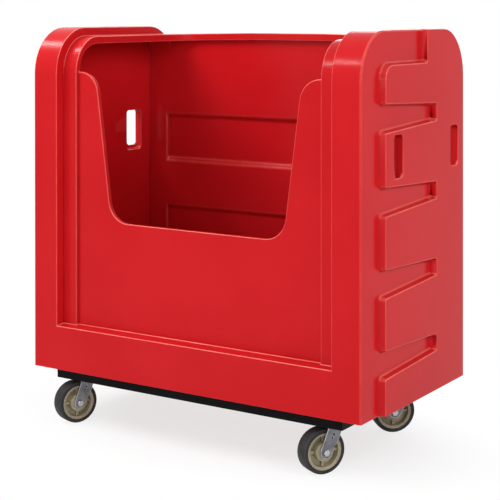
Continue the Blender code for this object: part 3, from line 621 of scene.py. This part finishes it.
def room_beside(edge, loop):
    """The way from an edge across a face to its next border, at the narrowest of the probes."""
    start = loop.vert.co
    end = loop.link_loop_next.vert.co
    along = (end - start).normalized()
    across = loop.face.normal.cross(along)
    narrowest = NO_LIMIT
    for share in PROBES:
        place = start.lerp(end, share)
        for other in loop.face.edges:
            if other is edge:
                continue
            first = other.verts[0].co - place
            second = other.verts[1].co - place
            before = first.dot(along)
            after = second.dot(along)
            if before * after > 0 or abs(before - after) < 1e-9:
                continue
            part = before / (before - after)
            reach = first.dot(across) * (1 - part) + second.dot(across) * part
            if NEAREST < reach < narrowest:
                narrowest = reach
    return narrowest


rail_copy = merged_copy("rail_front")
long_edge = max(rail_copy.edges, key=lambda edge: edge.calc_length())
rail_room = min(room_beside(long_edge, loop) for loop in long_edge.link_loops)
print("room beside the front rail's longest edge:", round(rail_room * 1000, 1), "mm")
rail_copy.free()

# %% [markdown]
# The next helper asks a rule for the width of each sharp edge. For small pieces it also keeps the
# width below half of the room beside the edge. The widest becomes the modifier's width, and the
# others are stored as shares of it.

# %% Helper: round a copy by weights
SHARP_ANGLE = math.radians(28)
ROOM_SHARE = 0.46


def round_edges(bm, name, width_of, segments, heed_room=True):
    """A mesh object whose sharp edges are rounded, each by its own width."""
    bm.normal_update()
    bm.edges.index_update()
    widths = {}
    for edge in bm.edges:
        turn = edge.calc_face_angle_signed(0)
        if abs(turn) < SHARP_ANGLE:
            continue
        edge.smooth = False
        width = width_of(edge, turn)
        if heed_room:
            room = min(room_beside(edge, loop) for loop in edge.link_loops)
            width = min(width, room * ROOM_SHARE)
        widths[edge.index] = width
    widest = max(widths.values())
    for face in bm.faces:
        face.smooth = True
    mesh = bpy.data.meshes.new(name)
    bm.to_mesh(mesh)
    bm.free()
    weights = mesh.attributes.new("bevel_weight_edge", "FLOAT", "EDGE")
    for index, width in widths.items():
        weights.data[index].value = width / widest
    piece = bpy.data.objects.new(name, mesh)
    scene.collection.objects.link(piece)
    bevel = piece.modifiers.new("rounded_edges", "BEVEL")
    bevel.limit_method = "WEIGHT"
    bevel.offset_type = "OFFSET"
    bevel.width = widest
    bevel.segments = segments
    bevel.use_clamp_overlap = False
    bevel.loop_slide = False
    bevel.harden_normals = True
    return piece


print("an edge is sharp from", round(math.degrees(SHARP_ANGLE)), "degrees on")

# %% [markdown]
# ## Measuring bends for lighter edges and painted shade
#
# Once the bevel is applied, a rounded edge is a row of narrow faces that turn a little from one
# to the next. The turn over the width of a face tells how tight the bend is. Tight outward bends
# get a high value for the lighter edge colour, which is partly wear and partly painted highlight,
# tight inward bends get a high value for the painted shade, and flat faces get none. A third
# value tells how much the face looks up, which the painted highlight follows.

# %% Helpers: apply the modifiers and measure the bends
SMALLEST_AREA = 1e-8
UP_GAIN = 2


def apply_modifiers(piece):
    """Bake the live modifiers of a piece into its mesh."""
    shaped = piece.evaluated_get(bpy.context.evaluated_depsgraph_get())
    mesh = bpy.data.meshes.new_from_object(shaped)
    piece.modifiers.clear()
    piece.data = mesh
    mesh.name = piece.name


def measure_bends(piece, full_radius):
    """Store how tightly each face bends out or in and how much it faces up, from 0 to 1."""
    bm = bmesh.new()
    bm.from_mesh(piece.data)
    wear_and_highlight = []
    creased = []
    ups = []
    for face in bm.faces:
        longest = max(edge.calc_length() for edge in face.edges)
        turns = [edge.calc_face_angle_signed(0) for edge in face.edges
                 if edge.calc_length() > longest / 2]
        tightness = full_radius * longest / max(face.calc_area(), SMALLEST_AREA)
        wear_and_highlight.append(min(1.0, max(0.0, max(turns)) * tightness))
        creased.append(min(1.0, max(0.0, -min(turns)) * tightness))
        ups.append(min(1.0, max(0.0, UP_GAIN * face.normal.z)))
    bm.free()
    for label, values in (("wear_and_highlight", wear_and_highlight), ("crease_shade", creased), ("up", ups)):
        layer = piece.data.attributes.new(label, "FLOAT", "FACE")
        layer.data.foreach_set("value", values)


# The outward value carries wear and painted highlight, the inward value painted shade.
print("wear is stored on the faces as worn, crease and up")

# %% [markdown]
# A finished piece stands for one imported solid. It takes that solid's body, so that it moves with
# it, and its finish.

# %% Helper: finish a piece
def finish_piece(piece, node_name, finish):
    """Give a piece its finish, hang it on its node's body and let it stand for the node."""
    piece.data.materials.clear()
    piece.data.materials.append(FINISHES[finish])
    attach(piece, frame["nodes"][node_name]["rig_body"])
    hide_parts(node_name)


print("slots to fill:", ", ".join(FINISHES))

# %% [markdown]
# ## The tub
#
# The tub is one shell from a rotating mould, which leaves no sharp corner anywhere. It could be
# modelled anew as a subdivision surface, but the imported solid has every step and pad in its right
# place already, so only its edges are rounded. The roundings differ from place to place, so the
# places come first: the leaning end walls, the hand slots in them, and the low steps where the
# rim turns down into the end walls.

# %% Places on the tub
END_X = 0.60
END_AT_FLOOR = 0.6735
END_LEAN = 0.024
SLOT_ROWS = ((-0.175, -0.09), (0.19, 0.325))
SLOT_HEIGHTS = (0.95, 1.10)
RIM_STEP_X = (0.535, 0.557)
RIM_STEP_HEIGHTS = (1.30, 1.387)
tub_low, tub_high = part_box("tub")


def between(value, limits):
    """True where a value lies between two limits."""
    return limits[0] < value < limits[1]


def end_plane(z):
    """Distance of the end wall from the middle at a height: the walls lean inwards."""
    share = (z - tub_low.z) / (tub_high.z - tub_low.z)
    return END_AT_FLOOR - END_LEAN * share


def in_hand_slot(place):
    """True near the two hand slots of an end wall."""
    in_row = any(between(place.y, row) for row in SLOT_ROWS)
    return in_row and abs(place.x) > END_X and between(place.z, SLOT_HEIGHTS)


def below_rim_corner(place):
    """True on the low steps where the rim turns down into the end walls."""
    return between(abs(place.x), RIM_STEP_X) and between(place.z, RIM_STEP_HEIGHTS)


print("end wall at the floor and rim:", [round(end_plane(z), 4) for z in (tub_low.z, tub_high.z)])

# %% [markdown]
# The outer corners of the bands are broad, the raised pads on the ends sit in soft hollow feet,
# the back wall's ribs are soft, and the thin rim and the lips have small radii. One rule gives
# each edge its width by where it is and whether it turns out or in. Neighbours in a chain get the
# same width, so the rounding runs on smoothly. The underside, which rests on the rails, is kept
# nearly sharp.

# %% The widths on the tub
OUT_WIDTH = 0.0028
IN_WIDTH = 0.0030
CORNER_WIDTH = 0.0065
FOOT_WIDTH = 0.0050
RIB_WIDTH = 0.0060
SMALL_WIDTH = 0.0020
FLOOR_WIDTH = 0.0008
UNDERSIDE = 0.013
RIB_Y = 0.2
RIB_TOP = 1.15
BAND_REACH = 0.003
PAD_X = 0.63


def tub_width(edge, turn):
    """The width of the rounding on one edge of the tub. An outer edge has a positive turn."""
    middle = (edge.verts[0].co + edge.verts[1].co) / 2
    if middle.z < tub_low.z + UNDERSIDE:
        return FLOOR_WIDTH
    if in_hand_slot(middle) or below_rim_corner(middle):
        return SMALL_WIDTH
    if abs(middle.x) < END_X and middle.y > RIB_Y and middle.z < RIB_TOP:
        return RIB_WIDTH
    if turn > 0:
        on_band = abs(abs(middle.x) - end_plane(middle.z)) < BAND_REACH
        return CORNER_WIDTH if on_band else OUT_WIDTH
    return FOOT_WIDTH if abs(middle.x) > PAD_X else IN_WIDTH


print("widths: from", FLOOR_WIDTH * 1000, "to", CORNER_WIDTH * 1000, "mm")

# %% [markdown]
# A rounded edge pulls on the whole face beside it, and a very large face with many corners can
# fold when it is split for rendering. So the wide faces of the walls get a few straight cuts
# first. The cuts lie in the faces and don't show. Points that are closer together than the
# rounding is wide are joined before that.

# %% Weld the tub and cut its wide faces
END_WELD = 0.0018
TUB_WELD = 0.0006
CUT_REACH = 0.0008
CUTS = (
    ("end", 2, (0.28, 0.50, 0.76, 1.02, 1.245)),
    ("end", 1, (-0.18, -0.085, -0.02, 0.045, 0.11, 0.178, 0.29)),
    ("middle", 0, (-0.24, -0.12, 0.0, 0.12, 0.24)),
    ("middle", 2, (0.50, 0.82, 1.0, 1.19)),
    ("middle", 1, (-0.15, 0.0, 0.15)),
)


def cut_zone(bm, zone, axis, at):
    """Cut the faces of the end walls, or all the others, with a plane across an axis."""
    faces = [face for face in bm.faces
             if (zone == "end") == (abs(face.calc_center_median().x) > END_X)]
    parts = faces + list({edge for face in faces for edge in face.edges})
    parts += list({vert for face in faces for vert in face.verts})
    normal = Vector((axis == 0, axis == 1, axis == 2))
    bmesh.ops.bisect_plane(bm, geom=parts, dist=CUT_REACH, plane_co=normal * at, plane_no=normal)


tub_bm = bmesh.new()
tub_bm.from_mesh(frame["nodes"]["tub"].data)
end_points = [vert for vert in tub_bm.verts if abs(vert.co.x) > END_X]
bmesh.ops.remove_doubles(tub_bm, verts=end_points, dist=END_WELD)
bmesh.ops.remove_doubles(tub_bm, verts=tub_bm.verts, dist=TUB_WELD)
join_flat_faces(tub_bm)
whole_faces = len(tub_bm.faces)
for zone, axis, places in CUTS:
    for at in places:
        cut_zone(tub_bm, zone, axis, at)
print("tub:", whole_faces, "faces, cut into", len(tub_bm.faces), "with",
      sum(len(edge.link_faces) != 2 for edge in tub_bm.edges), "open edges")

# %% [markdown]
# Now the rounding goes on, the bends for the lighter edges and the painted shade are measured,
# and the finished shell takes the place of the imported solid on the cart's body.

# %% Round the tub
TUB_SEGMENTS = 4
TUB_RADIUS = 0.003

tub_piece = round_edges(tub_bm, "tub_shell", tub_width, TUB_SEGMENTS, heed_room=False)
apply_modifiers(tub_piece)
measure_bends(tub_piece, TUB_RADIUS)
finish_piece(tub_piece, "tub", "red_polyethylene")
print("tub shell:", len(tub_piece.data.polygons), "faces")

# %% [markdown]
# ## The frame
#
# Four angle rails and two flat bars carry the tub. Sheared and sawn steel has edges broken by
# about half a millimetre, and the paint rounds them a little more. A rule for each edge would be
# more than this needs: one width is right for a whole part, so a helper dresses all the parts of
# one kind.

# %% Round the rails and bars
SMALL_SEGMENTS = 2
SMALL_RADIUS = 0.0015
SHEARED_EDGE = 0.0009


def dress(node_names, finish, edge_width):
    """Round these nodes by one width and let the finished copies stand for them."""
    for node_name in node_names:
        piece = round_edges(merged_copy(node_name), node_name + "_dressed",
                            lambda edge, turn: edge_width, SMALL_SEGMENTS)
        apply_modifiers(piece)
        measure_bends(piece, SMALL_RADIUS)
        finish_piece(piece, node_name, finish)
    print(finish + ":", len(node_names), "pieces")


node_names = sorted(frame["nodes"])
rails_and_bars = [name for name in node_names if name.startswith(("rail", "caster_bar"))]
dress(rails_and_bars, "black_frame_paint", SHEARED_EDGE)

# %% [markdown]
# ## The casters' plates and forks
#
# Each caster has a top plate with its swivel race and a fork below it. Both are pressed from
# thick sheet, and the press leaves a wider rounding than a saw.

# %% Round the plates and forks
PRESSED_EDGE = 0.0016

plates_and_forks = [name for name in node_names if name.endswith(("plate", "fork"))]
dress(plates_and_forks, "caster_steel", PRESSED_EDGE)

# %% [markdown]
# ## The wheels
#
# A wheel is a moulded core with four spokes, and a rubber tread that is bonded round it. It could
# be spun from a profile, but its spokes would have to be cut afterwards, and the solid has them.
# The edges are crisp. Both pieces ride on the wheel's own body, which rolls in the fork.

# %% Round the cores and treads
WHEEL_EDGE = 0.0006

dress([name for name in node_names if name.endswith("wheel_core")], "tan_wheel_core", WHEEL_EDGE)
dress([name for name in node_names if name.endswith("tread")], "dark_tread", WHEEL_EDGE)

# %% [markdown]
# ## Bolts, nuts, pins and bearings
#
# Carriage bolts hold the tub on the rails, four bolts hold each caster plate on its bar, and each
# caster has a kingpin, an axle bolt with its nut, and a bearing. Their threads could be modelled,
# but none shows once they are tightened. All of them get the bright zinc and slightly broken
# edges.

# %% Round the fasteners
SCREW_EDGE = 0.0006
FASTENER_WORDS = ("bolt", "nut", "kingpin", "bearing")

fasteners = [name for name in node_names if any(word in name for word in FASTENER_WORDS)]
dress(fasteners, "zinc_fasteners", SCREW_EDGE)
